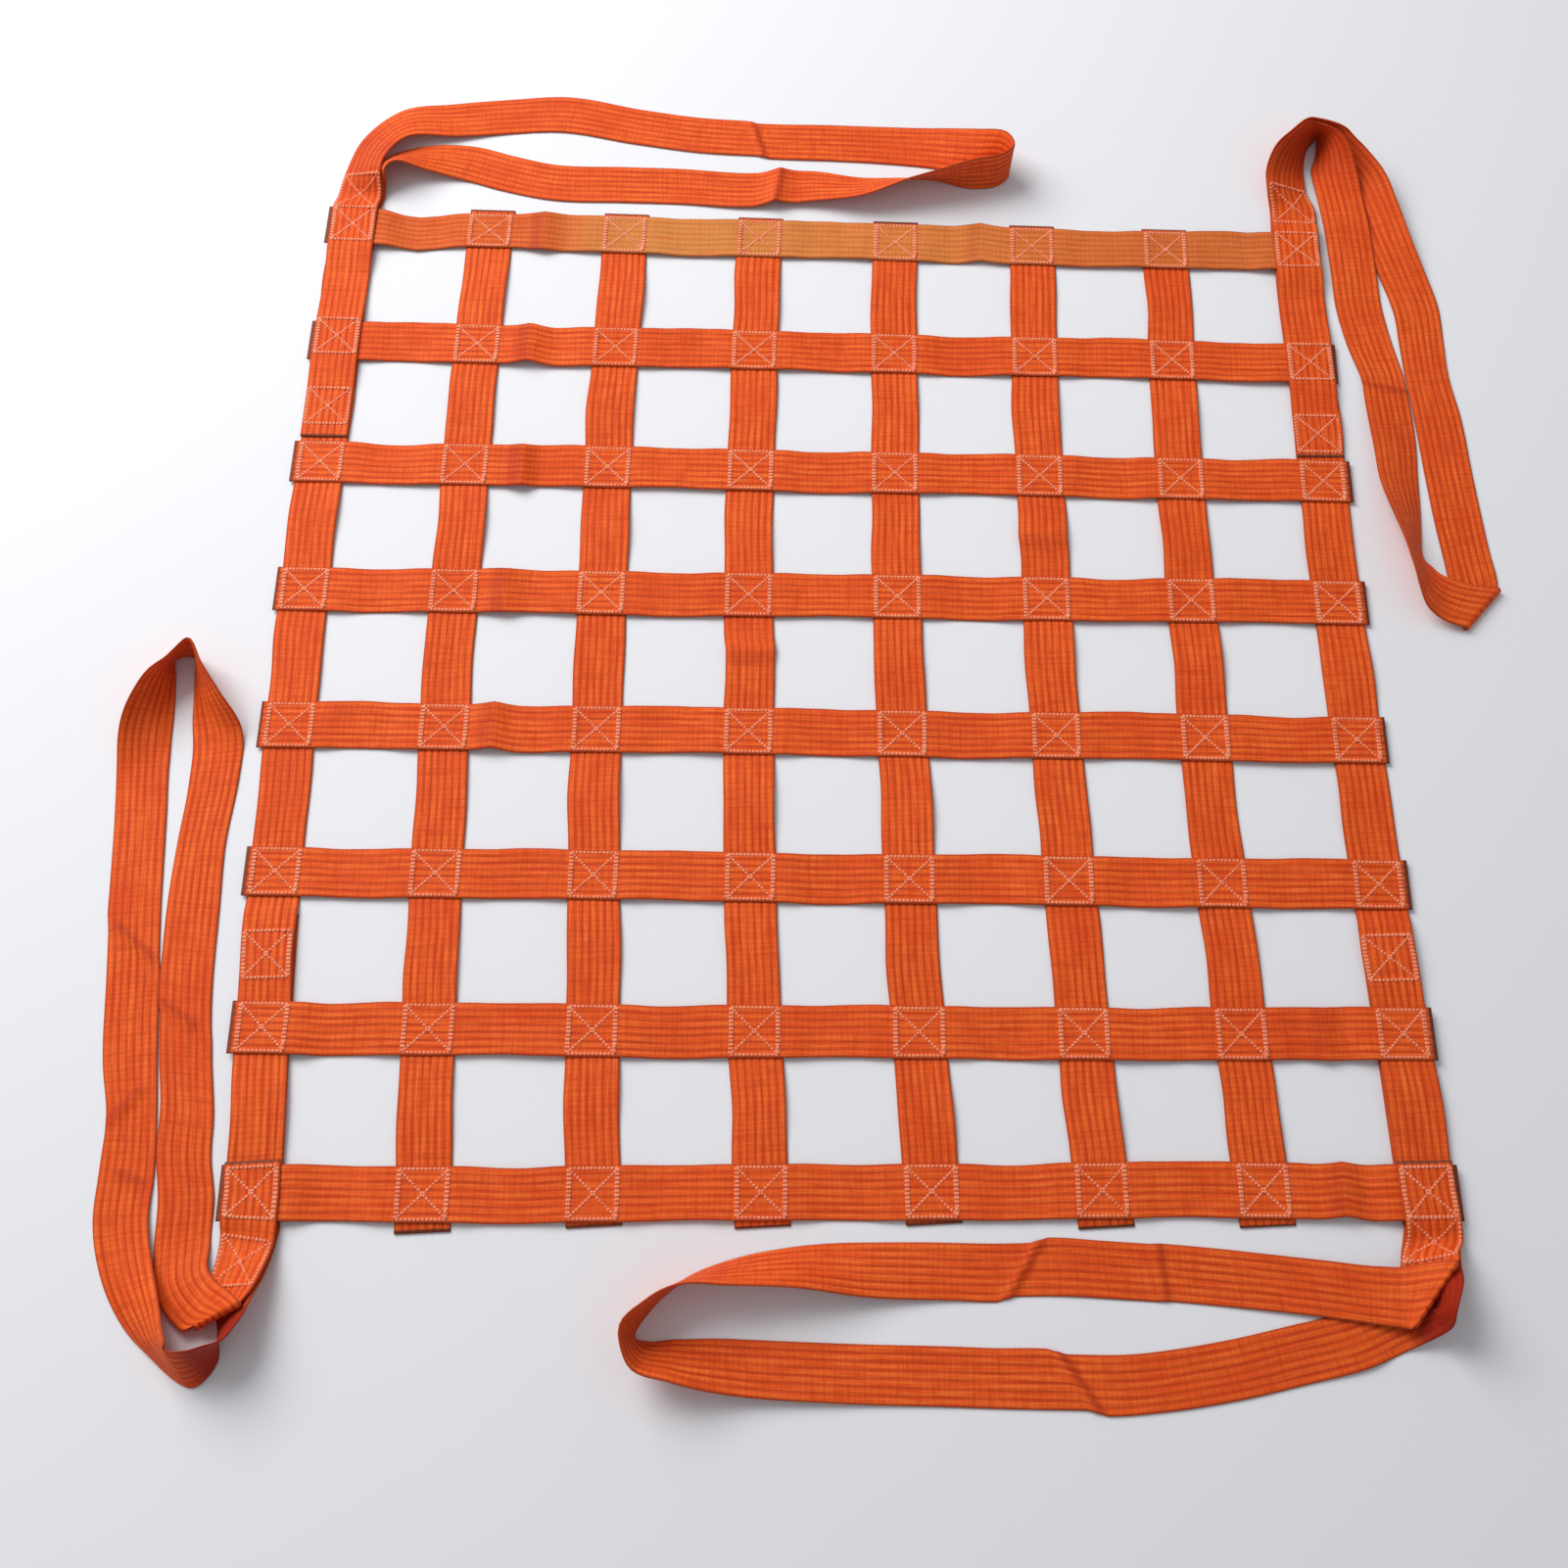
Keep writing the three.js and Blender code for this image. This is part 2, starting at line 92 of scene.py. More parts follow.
# Between two crossings a strap is free to wander aside, slowly and quickly, to lean by a share of
# its width, and to arch off the floor, here more and there less.
WANDER = 1.5
QUIVER = 0.35
LEAN = 0.045
ARCH = 1.1
ARCH_MORE = 0.9

# Creases left by packing: the strap, how far along it, how high, how long either way, and how
# far the strap is pushed sideways there.
CREASES = [
    ("cross_strap_1", -452, 0, 60, 6),
    ("cross_strap_1", -315, 6, 24, 2),
    ("cross_strap_1", 168, 4, 30, -3),
    ("cross_strap_2", -318, 7, 26, -2),
    ("cross_strap_3", -316, 9, 20, 3),
    ("cross_strap_4", -322, 6, 28, 2),
    ("cross_strap_5", -326, 5, 24, -2),
    ("cross_strap_7", 452, 4, 26, 2),
    ("cross_strap_8", 448, 5, 28, -3),
    ("long_strap_4", 13, 3, 18, 1),
    ("long_strap_6", 150, 3, 30, -2),
]


def ease(value, start, end):
    """0 before start, 1 after end, and a smooth rise between."""
    t = min(max((value - start) / (end - start), 0.0), 1.0)
    return t * t * (3 - 2 * t)


def slid(slides, place, share):
    """The slide at a place counted in straps from the first one, at a share of their length."""
    k = min(max(math.floor(place), 0), COUNT - 2)
    one, following = (start + (end - start) * share for start, end in slides[k : k + 2])
    return one + (following - one) * min(max(place - k, 0.0), 1.0)


def laid(x, y):
    """Where a point of the square grid has come to lie: bowed, swayed, fanned and slid a little."""
    u, v = x / HALF, y / HALF
    free = 1 - min((u * v) ** 4, 1)
    slide_x = free * slid(LONG_SLIDES, (x + HALF) / PITCH, (1 - v) / 2)
    slide_y = free * slid(CROSS_SLIDES, (HALF - y) / PITCH, (1 + u) / 2)
    along_x = x + BOW * (v * v - BOW_REST) - SWAY * v - TUCK * u * u * (1 + u) + slide_x
    return Vector((along_x, y - FAN * u * (1 + v) + slide_y, 0.0))


def long_lift(column, y):
    """How high a long strap's underside is: the outer two lie on the loops' lower ends."""
    if column not in (0, COUNT - 1):
        return 0.0
    end = TAIL_END if y < 0 else HALF - CUT_END
    return LAYER * ease(abs(y), end - END_STEP, end)


class Ring:
    """One place along a strip of webbing: its middle, the way across it, and half its width.

    along says how far along the strip it is, faded how bleached the webbing is there, and the last
    how far it is darkened to a deep red there: painted shade in turns and creases, and darker ends.
    """

    def __init__(self, at, side, half):
        self.at, self.side, self.half = at, side.normalized(), half
        self.along = 0.0
        self.faded = 0.0
        self.painted_shade_and_darkening = 0.0


def strap_rings(name, start, end, point, lift, sway):
    """The rings of a straight strap from start to end.

    point and lift say where it lies and how high its underside is at any place along it, and sway
    sets how it wavers between crossings.
    """
    folds = [fold for fold in CREASES if fold[0] == name]
    steps = math.ceil((end - start) / RING_STEP)
    rings = []
    for k in range(steps + 1):
        place = start + (end - start) * k / steps
        forward = (point(place + 1) - point(place - 1)).normalized()
        side = Vector((-forward.y, forward.x, 0.0))
        # no wave's length goes into another's, so no two spans between crossings are alike
        free = math.sin(math.pi * ((place + HALF) / PITCH)) ** 2 if abs(place) < HALF else 0.0
        slow = math.sin(place / 61.0 + sway)
        quick = math.sin(place / 23.0 + 2.3 * sway)
        lean = free * LEAN * math.sin(place / 43.0 + 4.1 * sway)
        at = point(place) + side * free * (WANDER * slow + QUIVER * quick)
        at.z = lift(place) + THICK / 2 + abs(lean) * WIDE / 2
        at.z += free * (ARCH + ARCH_MORE * math.sin(place / 97.0 + 3.1 * sway))
        # a crease comes to a ridge, and dies out along a hollow slope
        for _, along, high, reach, shift in folds:
            share = max(1 - abs(place - along) / reach, 0.0) ** 1.4
            at -= side * share * shift
            at.z += share * high
        # the weave lets its width change by a fiftieth
        ring = Ring(at, side + Vector((0, 0, lean)), WIDE / 2 * (1 + free * 0.02 * quick))
        ring.along = place
        # painted shade, a deeper red, on one side of a crease, up to its top
        for _, along, high, _, _ in folds:
            shade = ease(place, along - 20, along - 9) * (1 - ease(place, along - 6, along + 3))
            ring.painted_shade_and_darkening = max(ring.painted_shade_and_darkening, shade * min(high / 14, 0.5))
        rings.append(ring)
    return rings


def ribbed_section():
    """Points round the webbing as (across from -1 to 1, height from -1 to 1, place on the face)."""
    face = []
    for rib in range(RIBS):
        # from the channel on one side over the rib's crown: how far across it, and how much of the
        # channel's depth is left there
        for part, sunk in ((0.0, 1.0), (0.2, 0.22), (0.5, 0.0), (0.8, 0.22)):
            deep = CHANNELS_DEEP[rib + (part > 0.5)]
            face.append(((rib + part) / RIBS, 1 - sunk * deep * 2 / THICK))
    face.append((1.0, 1 - CHANNELS_DEEP[-1] * 2 / THICK))
    # the faces stop just short of the woven edges, which are rounded off to them
    top = [(0.985 * (1 - 2 * place), high, place) for place, high in face]
    left = [(-1.0, 0.3, 1.0), (-1.0, -0.3, 1.0)]
    under = [(-across, -high, 1 - place) for across, high, place in top]
    right = [(1.0, -0.3, 0.0), (1.0, 0.3, 0.0)]
    return top + left + under + right


SECTION = ribbed_section()


def face_ways(rings):
    """The unit vectors out of the upper face of a strip, one for each ring."""
    ways = []
    for k, ring in enumerate(rings):
        before, after = rings[max(k - 1, 0)], rings[min(k + 1, len(rings) - 1)]
        ways.append((after.at - before.at).cross(ring.side).normalized())
    return ways


def added(name, data):
    """A mesh, a light or a camera as an object of the scene."""
    made = bpy.data.objects.new(name, data)
    bpy.context.scene.collection.objects.link(made)
    return made


def finished(name, bm, material):
    """A bmesh as a finished piece in its material."""
    mesh = bpy.data.meshes.new(name)
    bm.to_mesh(mesh)
    bm.free()
    mesh.materials.append(material)
    return added(name, mesh)


def weave_strip(name, rings, from_roll, seared_wide, dent):
    """A closed, ribbed strip of webbing through rings.

    It starts from_roll along the roll that all the webbing is cut from. Its ends are browned by
    the hot knife, and darkened with painted shade, for seared_wide. dent moves each of its points
    to where wear has pushed it, and says how much painted shade it gets there beside a crease.
    """
    bm = bmesh.new()
    around, last = len(SECTION), len(rings) - 1
    bmesh.ops.create_grid(bm, x_segments=around, y_segments=last, size=0.5)
    uv = bm.loops.layers.uv.new("webbing")
    faded = bm.verts.layers.float.new("faded")
    painted_shade_and_darkening = bm.verts.layers.float.new("painted_shade_and_darkening")
    past_seared = bm.verts.layers.float.new("past_seared")
    ways = face_ways(rings)
    length = abs(rings[-1].along - rings[0].along)
    spot = {}
    for vert in bm.verts:
        spot[vert] = (round((vert.co.x + 0.5) * around), round((vert.co.y + 0.5) * last))
    for face in bm.faces:
        face.smooth = True
        for loop in face.loops:
            i, k = spot[loop.vert]
            loop[uv].uv = (SECTION[i % around][2], (rings[k].along + from_roll) / WIDE)
    for vert, (i, k) in spot.items():
        across, high, _ = SECTION[i % around]
        ring = rings[k]
        # the cut ends are melted thin so that they don't fray
        melted = MELTED if k in (0, last) else 1.0
        co = ring.at + ring.side * ring.half * across + ways[k] * high * melted * THICK / 2
        co, shade = dent(co, ring.along)
        co.z = max(co.z, 0.0)
        vert.co = (co - MIDDLE) * MM
        vert[faded] = ring.faded
        vert[painted_shade_and_darkening] = max(ring.painted_shade_and_darkening, shade)
        from_start = abs(ring.along - rings[0].along)
        # counted in widths of the seared band, and no further than matters
        vert[past_seared] = min(from_start / seared_wide, (length - from_start) / seared_wide, 6.0)
    seam = [vert for vert, (i, _) in spot.items() if i in (0, around)]
    bmesh.ops.remove_doubles(bm, verts=seam, dist=1e-6)
    bmesh.ops.holes_fill(bm, edges=[edge for edge in bm.edges if edge.is_boundary], sides=0)
    bmesh.ops.recalc_face_normals(bm, faces=bm.faces)
    return finished(name, bm, webbing)


def linear(code):
    """A linear colour from an sRGB hex code."""
    parts = [int(code[i : i + 2], 16) / 255 for i in (1, 3, 5)]
    return (*[p / 12.92 if p < 0.04045 else ((p + 0.055) / 1.055) ** 2.4 for p in parts], 1.0)


def node(tree, kind, links=None, **settings):
    """Adds a node with its settings. links gives its inputs: another node's output, or a value."""
    made = tree.nodes.new(kind)
    for key, value in settings.items():
        setattr(made, key, value)
    for key, value in (links or {}).items():
        if isinstance(value, bpy.types.NodeSocket):
            tree.links.new(value, made.inputs[key])
        else:
            made.inputs[key].default_value = value
    return made


def between(tree, value, start, end):
    """0 where value is under start, 1 over end, smooth between."""
    made = node(tree, "ShaderNodeMapRange", {0: value, 1: start, 2: end},
                interpolation_type="SMOOTHSTEP")
    return made.outputs[0]


def mixed(tree, share, first, second):
    """A blend of two colours by share."""
    made = node(tree, "ShaderNodeMix", {0: share, 6: first, 7: second}, data_type="RGBA")
    return made.outputs[2]


def sums(tree, operation, *values):
    """A sum, a product or the like of numbers and other nodes' outputs."""
    links = {i: value for i, value in enumerate(values)}
    return node(tree, "ShaderNodeMath", links, operation=operation).outputs[0]


def cloudy(tree, detail, vector, **values):
    """A soft noise."""
    links = {"Vector": vector, "Scale": 1.0, "Detail": detail, "Roughness": 0.6, **values}
    return node(tree, "ShaderNodeTexNoise", links).outputs[0]


def new_material(name):
    """A material with nothing in it yet, and its node tree."""
    made = bpy.data.materials.new(name)
    made.use_nodes = True
    made.node_tree.nodes.clear()
    return made, made.node_tree


# Woven polyester, dyed orange in the yarn. The ribs catch the light, and the channels between them
# are painted with a deeper, redder shade, some more than others. The weft shows as fine steps
# across each rib.
WEFT = 5.2
webbing, tree = new_material("orange_polyester_webbing")
# places on a face, across it and along the roll, are counted in widths of webbing, 50 mm each
lies = node(tree, "ShaderNodeUVMap", uv_map="webbing")
parts = node(tree, "ShaderNodeSeparateXYZ", {0: lies.outputs[0]})
across, along = parts.outputs[0], parts.outputs[1]
at_object = node(tree, "ShaderNodeTexCoord").outputs["Object"]


def woven(detail, per_width, per_length):
    """A soft noise that runs with the webbing, by how often it changes in 50 mm each way."""
    space = node(tree, "ShaderNodeCombineXYZ", {0: sums(tree, "MULTIPLY", across, per_width),
                                                1: sums(tree, "MULTIPLY", along, per_length)})
    return cloudy(tree, detail, space.outputs[0])


def tinted(colour, noise, start, end, most, tint):
    """A colour turned towards tint, by most where noise is over end and not at all under start."""
    share = sums(tree, "MULTIPLY", between(tree, noise, start, end), most)
    return mixed(tree, share, colour, linear(tint))


# how much painted shade a place gets for lying in a channel: 1 at the bottom, 0 on the crown of a rib
rib_place = sums(tree, "MULTIPLY", across, float(RIBS))
from_channel = sums(tree, "PINGPONG", rib_place, 0.5)
channel_shade = sums(tree, "SUBTRACT", 1.0, between(tree, from_channel, 0.03, 0.36))
# each channel is darker in some places and nearly closed in others, for about 70 mm at a time, and
# no two channels alike
which = sums(tree, "MULTIPLY", sums(tree, "ROUND", rib_place), 7.3)
worn_space = node(tree, "ShaderNodeCombineXYZ", {0: which, 1: sums(tree, "MULTIPLY", along, 0.7)})
open_channel = between(tree, cloudy(tree, 2.0, worn_space.outputs[0]), 0.30, 0.66)
channel_shade = sums(tree, "MULTIPLY", channel_shade, sums(tree, "MULTIPLY_ADD", open_channel, 0.45, 0.50))
# yarns of one rib, 2 mm wide together, run a little lighter or darker for 55 mm at a time
streaks = woven(2.0, 24.0, 0.9)
# handling has left the odd patch as wide as a hand, redder and duller: about nine to the metre
blotch = cloudy(tree, 3.0, at_object, Scale=9.0, Roughness=0.55)
# the weft: a small step straight across about every 5.2 mm, drawn coarser than the 1.5 mm of the
# real one so that it shows, and never quite even
uneven = woven(1.0, 0.8, 3.0)
weft_place = sums(tree, "ADD", sums(tree, "DIVIDE", along, WEFT / WIDE),
                  sums(tree, "MULTIPLY", uneven, 1.6))
pick = between(tree, sums(tree, "PINGPONG", weft_place, 0.5), 0.02, 0.30)
# where the webbing has been pressed the picks stand closer, in bands 8 mm long
bands = woven(1.0, 1.2, 6.5)
# here and there a thicker weft yarn, or a few together, makes a dark line across, 30 mm wide
slubs = woven(2.0, 1.6, 8.5)

colour = mixed(tree, between(tree, streaks, 0.33, 0.68), linear("#E04F15"), linear("#F57029"))
colour = tinted(colour, blotch, 0.42, 0.72, 0.45, "#D9430F")
colour = tinted(colour, bands, 0.48, 0.78, 0.30, "#C93C0C")
# polyester bleached by the sun goes a flat sandy orange, ribs and all
faded = node(tree, "ShaderNodeAttribute", attribute_name="faded").outputs["Fac"]
uneven_fading = sums(tree, "MULTIPLY_ADD", between(tree, streaks, 0.3, 0.7), 0.25, 0.8)
patchy = sums(tree, "MULTIPLY", faded, uneven_fading)
colour = mixed(tree, patchy, colour, linear("#CF8C47"))
deep = mixed(tree, patchy, linear("#BC3A0C"), linear("#BC7C3C"))
# painted shade in the channels, in the deeper red
colour = mixed(tree, channel_shade, colour, deep)
between_picks = sums(tree, "SUBTRACT", 1.0, pick)
colour = mixed(tree, sums(tree, "MULTIPLY", between_picks, 0.20), colour, deep)
dark_line = between(tree, slubs, 0.46, 0.70)
colour = mixed(tree, sums(tree, "MULTIPLY", dark_line, 0.32), colour, deep)
# the two woven edges are rubbed brown
from_edge = sums(tree, "PINGPONG", across, 0.5)
edge = sums(tree, "SUBTRACT", 1.0, between(tree, from_edge, 0.0, 0.035))
colour = mixed(tree, sums(tree, "MULTIPLY", edge, 0.5), colour, linear("#9A4420"))
# painted shade: webbing tucked inside a turn or beside a crease is darkened to a deep red, and the
# farthest cross strap is darkened with it towards both ends
painted_shade_and_darkening = node(tree, "ShaderNodeAttribute", attribute_name="painted_shade_and_darkening").outputs["Fac"]
colour = mixed(tree, sums(tree, "MULTIPLY", painted_shade_and_darkening, 0.88), colour, linear("#8E1404"))
# the hot knife has left a hard brown band along each cut end, ragged every 6 mm, and painted shade
# where the end curls down darkens the same band
past_seared = node(tree, "ShaderNodeAttribute", attribute_name="past_seared").outputs["Fac"]
ragged = sums(tree, "MULTIPLY_ADD", cloudy(tree, 2.0, at_object, Scale=160.0), 0.7, past_seared)
seared_and_shaded = sums(tree, "SUBTRACT", 1.0, between(tree, ragged, 1.1, 1.5))
colour = mixed(tree, sums(tree, "MULTIPLY", seared_and_shaded, 0.8), colour, linear("#5A382C"))

height = sums(tree, "ADD", sums(tree, "MULTIPLY", pick, 0.3), sums(tree, "MULTIPLY", streaks, 0.3))
height = sums(tree, "ADD", height, sums(tree, "MULTIPLY", bands, 0.8))
bump = node(tree, "ShaderNodeBump", {"Height": height, "Strength": 0.55, "Distance": 0.6 * MM})
cloth = node(tree, "ShaderNodeBsdfPrincipled", {"Base Color": colour, "Roughness": 0.7,
                                                "Sheen Weight": 0.03, "Sheen Roughness": 0.4,
                                                "Specular IOR Level": 0.18,
                                                "Normal": bump.outputs[0]})
node(tree, "ShaderNodeOutputMaterial", {"Surface": cloth.outputs[0]})

# how long each piece is that has been cut from the roll so far, so that no two are cut alike
cut_from_roll = []


def undented(point, _):
    """Webbing that has kept its shape."""
    return point, 0.0


def lay_webbing(name, rings, seared_wide, dent=undented):
    """One length of webbing as a finished piece, in place of its plain solid."""
    piece = weave_strip(name + "_webbing", rings, sum(cut_from_roll), seared_wide, dent)
    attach(piece, "root")
    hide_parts(name)
    length = sum((b.at - a.at).length for a, b in zip(rings, rings[1:]))
    cut_from_roll.append(length)


# the rings of every length of webbing, for the thread that is sewn on it
sewn_on = {}
for column in range(COUNT):
    x = PITCH * column - HALF
    outer = column in (0, COUNT - 1)
    near = HALF + WIDE / 2 + LONG_ENDS_NEAR[column]
    far = HALF + WIDE / 2 + (CORNER_END if outer else LONG_END_FAR)
    name = f"long_strap_{column + 1}"
    rings = strap_rings(name, -near, far, lambda y: laid(x, y), lambda y: long_lift(column, y),
                        sway=1.7 * column)
    # the knife browned the ends of some for 1.8 mm, and of others for up to 3 mm, with painted shade
    # over the same band
    lay_webbing(name, rings, seared_wide=1.8 + 0.6 * (column * 5 % 3))
    sewn_on[name] = rings


# ---------------------------------------------------------------------------------------------
# The cross straps. Eight more lengths of the same webbing, laid over the long ones: each rises
# over a long strap and comes down to the floor between two. The farthest one is sun-faded.
# ---------------------------------------------------------------------------------------------
CROSS_END = 5.0
# how far from the middle of a long strap a cross strap starts to come down, and meets the floor
RISE_FROM = 30.0
RISE_TO = 62.0
# how widely the knife browned the ends of each, painted shade included, from the far side
SEARED_WIDE = [5.5, 4.5, 4.0, 3.5, 3.0, 4.5, 4.0, 4.5]


def cross_lift(row, x):
    """How high a cross strap's underside is."""
    y = HALF - PITCH * row
    high = 0.0
    for column in range(COUNT):
        away = abs(x + HALF - PITCH * column)
        over = long_lift(column, y) + LAYER
        high = max(high, over * (1 - ease(away, RISE_FROM, RISE_TO)))
    return high


for row in range(COUNT):
    y = HALF - PITCH * row
    left = HALF + WIDE / 2 + CROSS_END
    right = HALF + WIDE / 2 + (CORNER_END if row == 0 else CROSS_END)
    name = f"cross_strap_{row + 1}"
    rings = strap_rings(name, -left, right, lambda x: laid(x, y), lambda x: cross_lift(row, x),
                        sway=0.9 + 2.1 * row)
    if row == 0:
        for ring in rings:
            # packed away, its left end was cupped, and lies a little narrower
            cupped = ease(ring.along, -505, -470) * (1 - ease(ring.along, -350, -312))
            ring.half *= 1 - 0.09 * cupped
            ring.faded = 0.22 + 0.6 * ease(ring.along, -330, -240)
            ring.faded -= 0.15 * ease(ring.along, -80, 20) + 0.2 * ease(ring.along, 120, 260)
            # towards both ends it is darker and redder than in the middle
            ring.painted_shade_and_darkening += 0.14 * ease(abs(ring.along), 180, 300)
    lay_webbing(name, rings, SEARED_WIDE[row])
    sewn_on[name] = rings


# ---------------------------------------------------------------------------------------------
# The corner loops. Each is one length of webbing, doubled back on itself to make a long eye, and
# sewn on with one end above the edge strap and one below. Both faces show where it turns over.
# ---------------------------------------------------------------------------------------------
# how far out a loop's lower end lies flat, and where the far loops' upper tail stops
LEG_OUT = 30.0
TOP_TAIL_END = 255.0
# the furthest that a loop turns from one ring to the next, in radians, and how close together its
# rings are within this much of a crease
TURN_STEP = 0.07
FINE_STEP = 3.0
CREASE_NEAR = 40.0

# Rows from the net outwards and back again: x and y of the middle of the webbing from the middle
# of the grid, the direction across it in degrees from +X, how far its first edge is tipped up,
# how many layers lie beneath it, how far its lower edge is off those, the length of the line
# across in widths, and 1 at a sharp fold.
NEAR_RIGHT = [
    (527.8, -552, 1, 0, 3, 0),
    (527.8, -565, -1, 3, 1, 0.6),
    (517.5, -583, 7, 23, 1, 3.8),
    (515, -614.5, 54, 17, 0, 10.8, 1.36, 1),
    (516.8, -616, 54, 17, 0, 13.6, 1.36, 1),
    (515, -614.5, 54, 17, 0, 16.4, 1.36, 1),
    (494, -616, 82, 4, 0, 11.2, 1.05),
    (474, -614, 87, 1, 0, 7),
    (430, -608, 96, 0, 1, 1),
    (330, -597, 95, 0, 0, 0),
    (210, -590, 92, 0, 0, 0),
    (125, -592, 88, 0, 0, 0),
    (40, -592, 90, -10, 0, 0),
    (-40, -591, 90, -40, 0, 0),
    (-92, -596, 86, -57, 0, 0),
    (-131, -603.5, 68, -75, 0, 0),
    (-160, -622, 22, -84, 0, 0),
    (-179, -649, 4, -78, 0, 0),
    (-170, -663, 60, -58, 0, 0),
    (-140, -669, 86, -40, 0, 0),
    (-96, -673, 92, -18, 0, 0),
    (0, -678, 90, -4, 0, 0),
    (110, -681, 90, 0, 0, 0),
    (200, -685, 90, 0, 0, 0),
    (262, -686, 94, 0, 0, 0),
    (335, -676.5, 100, 0, 0, 0),
    (400, -662.5, 104, 0, 0, 0),
    (452, -650, 108, -2, 0, 0),
    (490, -634, 114, -3, 0, 0),
    (510, -627, 124, -24, 0, 0),
    (519.5, -627, 135, -75, 0, 0),
    (522.5, -609, 163, -65, 0, 0),
    (519.7, -591.5, 176, -29, 0, 0),
    (526, -566, 178, -3, 0, 0),
]

FAR_LEFT = [
    (-522.2, 570, 178, 0, 3, 0),
    (-520.2, 583, 176, -2, 1, 0.6),
    (-516, 610, 165, -24, 1, 3.6),
    (-504, 649, 143, -21, 1, 3.6),
    (-476, 681, 109, -14, 1, 3),
    (-420, 693, 100, -3, 1, 0),
    (-357, 702, 92, 0, 0, 0),
    (-300, 704.5, 84, 2, 0, 0),
    (-210, 687, 80, 0, 0, 0),
    (-130, 673.5, 84, 0, 0, 0),
    (-60, 667.5, 87, 0, 0, 0),
    (10, 663, 90, 2, 0, 0),
    (66, 659, 90, 4, 0, 0),
    (126, 651.5, 86, 12, 0, 0),
    (172, 639, 72, 36, 0, 0),
    (200, 630, 40, 72, 0, 0),
    (209, 619, 0, 88, 0, 0),
    (197, 605.5, -55, 92, 0, 0),
    (170, 599.5, -88, 90, 0, 0),
    (125, 599, -94, 62, 0, 0),
    (95, 597, -92, 50, 0, 0),
    (42, 592, -88, 28, 0, 0),
    (-13, 598.5, -92, 10, 0, 0),
    (-90, 595.5, -90, 3, 0, 0),
    (-160, 601.5, -88, 0, 0, 0),
    (-222, 604, -90, 0, 0, 0),
    (-311, 608.5, -93, 0, 0, 0),
    (-356, 620, -104, 0, 0, 0),
    (-400, 633.5, -102, 2, 0, 0),
    (-446, 636, -92, 18, 0, 0),
    (-482, 629.5, -78, 40, 0, 0),
    (-505, 615, -40, 34, 0, 0),
    (-515, 600, -10, 10, 0, 0),
    (-519, 580, -3, 0, 0, 0),
]

FAR_RIGHT = [
    (521.8, 534, 178, 0, 3, 0),
    (522.8, 547, 178, 1, 1, 1.2),
    (523, 569, 178, 5, 1, 0.6),
    (517.5, 588, 180, 20, 1, 0.6),
    (518, 604, 180, 27, 1, 1),
    (524, 625, 176, 45, 1, 0),
    (535, 643, 192, 63, 0, 1.4),
    (548, 656.5, 212, 75, 0, 0),
    (557, 661.5, 237, 66, 0, 0),
    (564.5, 652, 292, 70, 0, 0),
    (569, 636, 335, 60, 0, 1),
    (571.5, 615, 346, 28, 0, 2.5),
    (575.5, 590, 354, 9, 1, 1.6),
    (579.5, 550, 358, 3.5, 1, 1.3),
    (581, 516, 0, 1, 1, 0.6),
    (581.5, 480, 3, 0, 1, 0),
    (582.5, 437, 5, 0, 0, 0),
    (588, 390, 7, 0, 0, 0, 0.97),
    (596.3, 346, 5, -2, 0, 0, 0.93, 0.5),
    (597.3, 298, 4, -8, 0, 0),
    (597.2, 250, 8, -13, 0, 0),
    (595.3, 217, 12, -19, 0, 0),
    (596.5, 169, 24, -34, 0, 0),
    (597.5, 140.5, 33, -43, 0, 0),
    (598, 117, 40, -48, 0, 0),
    (600.5, 105, 51, -42, 0, 1),
    (605, 92.5, 57, -29, 0, 4),
    (611, 80, 61, -16, 0, 7),
    (628, 69.5, 58, -3, 0, 8),
    (661.5, 62.5, 48, 0, 0, 6, 1.22, 1),
    (663.5, 61, 48, 0, 0, 3, 1.22, 1),
    (661.5, 62.5, 48, 0, 0, 0, 1.22, 1),
    (657, 114, 14, 0, 0, 0),
    (653.5, 165, 8, 0, 0, 0),
    (651, 222, 5, 0, 0, 0),
    (649, 290, 4, 0, 0, 0),
    (644.6, 346, 5, 0, 0, 0, 0.94),
    (644.6, 388, 6, 0, 0, 0, 0.97),
    (644.6, 430, 7, 0, 0, 0),
    (634.6, 479, 8, 4, 0, 0),
    (624.1, 519, 8, 11, 0, 0),
    (614.5, 564, 10, 16, 0, 0),
    (602.5, 603.5, 12, 26, 0, 0),
    (587.5, 624, 17, 37, 0, 0),
    (574.5, 640.5, 6, 52, 0, 0),
    (570.5, 658, 292, 70, 0, 0),
    (558.5, 668, 237, 65, 0, 0),
    (545, 661, 214, 75, 0, 0),
    (531.5, 646, 194, 63, 0, 0),
    (521, 628, 174, 45, 0, 0),
    (516, 605, 180, 25, 0, 0),
    (517, 588, 180, 20, 0, 0),
    (523, 567, 178, 3, 0, 0),
]

